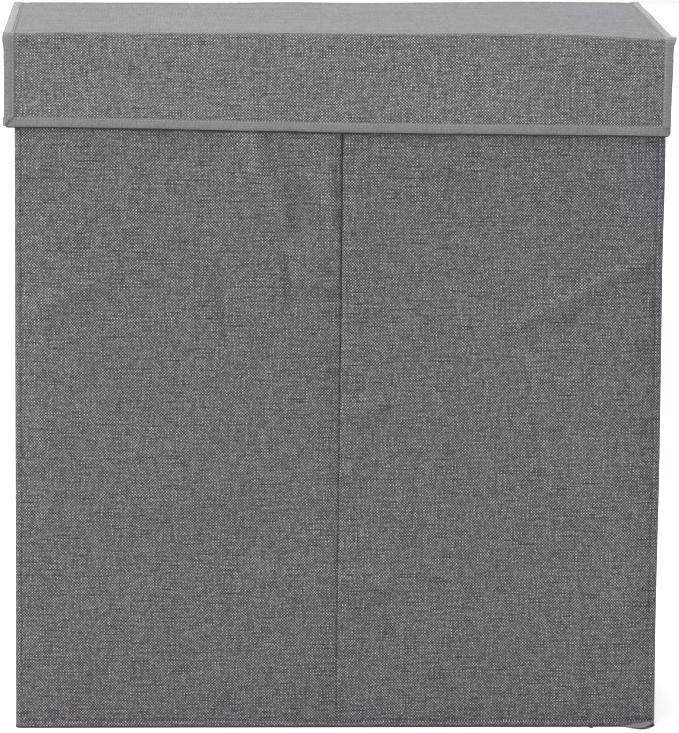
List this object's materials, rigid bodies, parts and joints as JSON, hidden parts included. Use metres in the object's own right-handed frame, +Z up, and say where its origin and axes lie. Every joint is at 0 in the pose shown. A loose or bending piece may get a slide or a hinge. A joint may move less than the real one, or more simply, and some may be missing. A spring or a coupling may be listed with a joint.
{
  "type": "laundry hamper with lid",
  "caption": "Tall rectangular fabric-over-board laundry hamper that folds flat, with a skirted lid hinged along the back edge, a cloth divider, lift-out liners and lift-up base boards.",
  "frame": {"origin": "centre of the object's footprint, on the surface that it stands on", "axes": "+Z up; -Y to the front, where the lid opens; +X to the right seen from the front"},
  "size_m": [0.5746, 0.3389, 0.61],
  "materials": {
    "weave": "coarse grey plain weave, matte",
    "tape": "ribbed grey binding tape, slight sheen",
    "lining": "smooth non-woven lining, matte",
    "cardboard": "plain brown board, matte",
    "liner_cloth": "thin off-white polyester cloth, matte",
    "webbing": "off-white ribbed webbing, matte",
    "hook_tape": "grey hook tape, matte"
  },
  "bodies": {
    "back_wall": {"back_skin": "weave", "back_lining": "lining", "back_left_board": "cardboard", "back_right_board": "cardboard", "back_rim_tape": "tape", "back_left_hook_tape": "hook_tape", "back_right_hook_tape": "hook_tape", "left_rear_corner": "weave", "right_rear_corner": "weave", "base_skin": "weave", "divider": "lining", "left_liner": "liner_cloth", "left_liner_front_handle": "webbing", "left_liner_rear_handle": "webbing", "right_liner": "liner_cloth", "right_liner_front_handle": "webbing", "right_liner_rear_handle": "webbing", "lid_hinge_strip": "weave"},
    "front_wall": {"front_skin": "weave", "front_lining": "lining", "front_left_board": "cardboard", "front_right_board": "cardboard", "front_rim_tape": "tape", "front_left_hook_tape": "hook_tape", "front_right_hook_tape": "hook_tape", "left_front_corner": "weave", "right_front_corner": "weave"},
    "lid": {"lid_cover": "weave", "lid_top_board": "cardboard", "lid_front_board": "cardboard", "lid_left_cover": "weave", "lid_left_board": "cardboard", "lid_right_cover": "weave", "lid_right_board": "cardboard", "lid_lining": "lining", "lid_hem_tape": "tape", "lid_left_seam_tape": "tape", "lid_right_seam_tape": "tape"},
    "left_rear_wall": {"left_rear_skin": "weave", "left_rear_board": "cardboard", "left_rear_lining": "lining", "left_rear_rim_tape": "tape"},
    "left_front_wall": {"left_front_skin": "weave", "left_front_board": "cardboard", "left_front_lining": "lining", "left_front_rim_tape": "tape"},
    "left_base": {"left_base_board": "cardboard", "left_base_cover": "lining", "left_base_tab": "webbing"},
    "right_rear_wall": {"right_rear_skin": "weave", "right_rear_board": "cardboard", "right_rear_lining": "lining", "right_rear_rim_tape": "tape"},
    "right_front_wall": {"right_front_skin": "weave", "right_front_board": "cardboard", "right_front_lining": "lining", "right_front_rim_tape": "tape"},
    "right_base": {"right_base_board": "cardboard", "right_base_cover": "lining", "right_base_tab": "webbing"}
  },
  "joints": [
    {"name": "lid_hinge", "type": "hinge", "parent": "back_wall", "child": "lid", "pos_m": [0, 0.1696, 0.6102], "axis": [-1, 0, 0], "range_deg": [0, 270]},
    {"name": "body_fold", "type": "hinge", "parent": "back_wall", "child": "left_rear_wall", "pos_m": [-0.2739, 0.158, 0.3], "axis": [0, 0, 1], "range_deg": [0, 90], "deforming": ["divider", "left_liner", "left_liner_front_handle", "left_liner_rear_handle", "right_liner", "right_liner_front_handle", "right_liner_rear_handle"]},
    {"name": "left_crease", "type": "hinge", "parent": "left_rear_wall", "child": "left_front_wall", "pos_m": [-0.281, 0.0032, 0.3], "axis": [0, 0, -1], "range_deg": [0, 180]},
    {"name": "left_front_fold", "type": "hinge", "parent": "left_front_wall", "child": "front_wall", "pos_m": [-0.2739, -0.1516, 0.3], "axis": [0, 0, 1], "range_deg": [0, 90]},
    {"name": "right_rear_fold", "type": "hinge", "parent": "back_wall", "child": "right_rear_wall", "pos_m": [0.2739, 0.158, 0.3], "axis": [0, 0, -1], "range_deg": [0, 90]},
    {"name": "right_crease", "type": "hinge", "parent": "right_rear_wall", "child": "right_front_wall", "pos_m": [0.281, 0.0032, 0.3], "axis": [0, 0, 1], "range_deg": [0, 180]},
    {"name": "left_base_tilt", "type": "hinge", "parent": "back_wall", "child": "left_base", "pos_m": [0, 0.1584, 0.0013], "axis": [-1, 0, 0], "range_deg": [0, 90]},
    {"name": "right_base_tilt", "type": "hinge", "parent": "back_wall", "child": "right_base", "pos_m": [0, 0.1584, 0.0013], "axis": [-1, 0, 0], "range_deg": [0, 90]}
  ],
  "couplings": [
    {"joint": "left_crease", "follows": "body_fold", "ratio": 2},
    {"joint": "left_front_fold", "follows": "body_fold", "ratio": 1},
    {"joint": "right_rear_fold", "follows": "body_fold", "ratio": 1},
    {"joint": "right_crease", "follows": "body_fold", "ratio": 2}
  ]
}
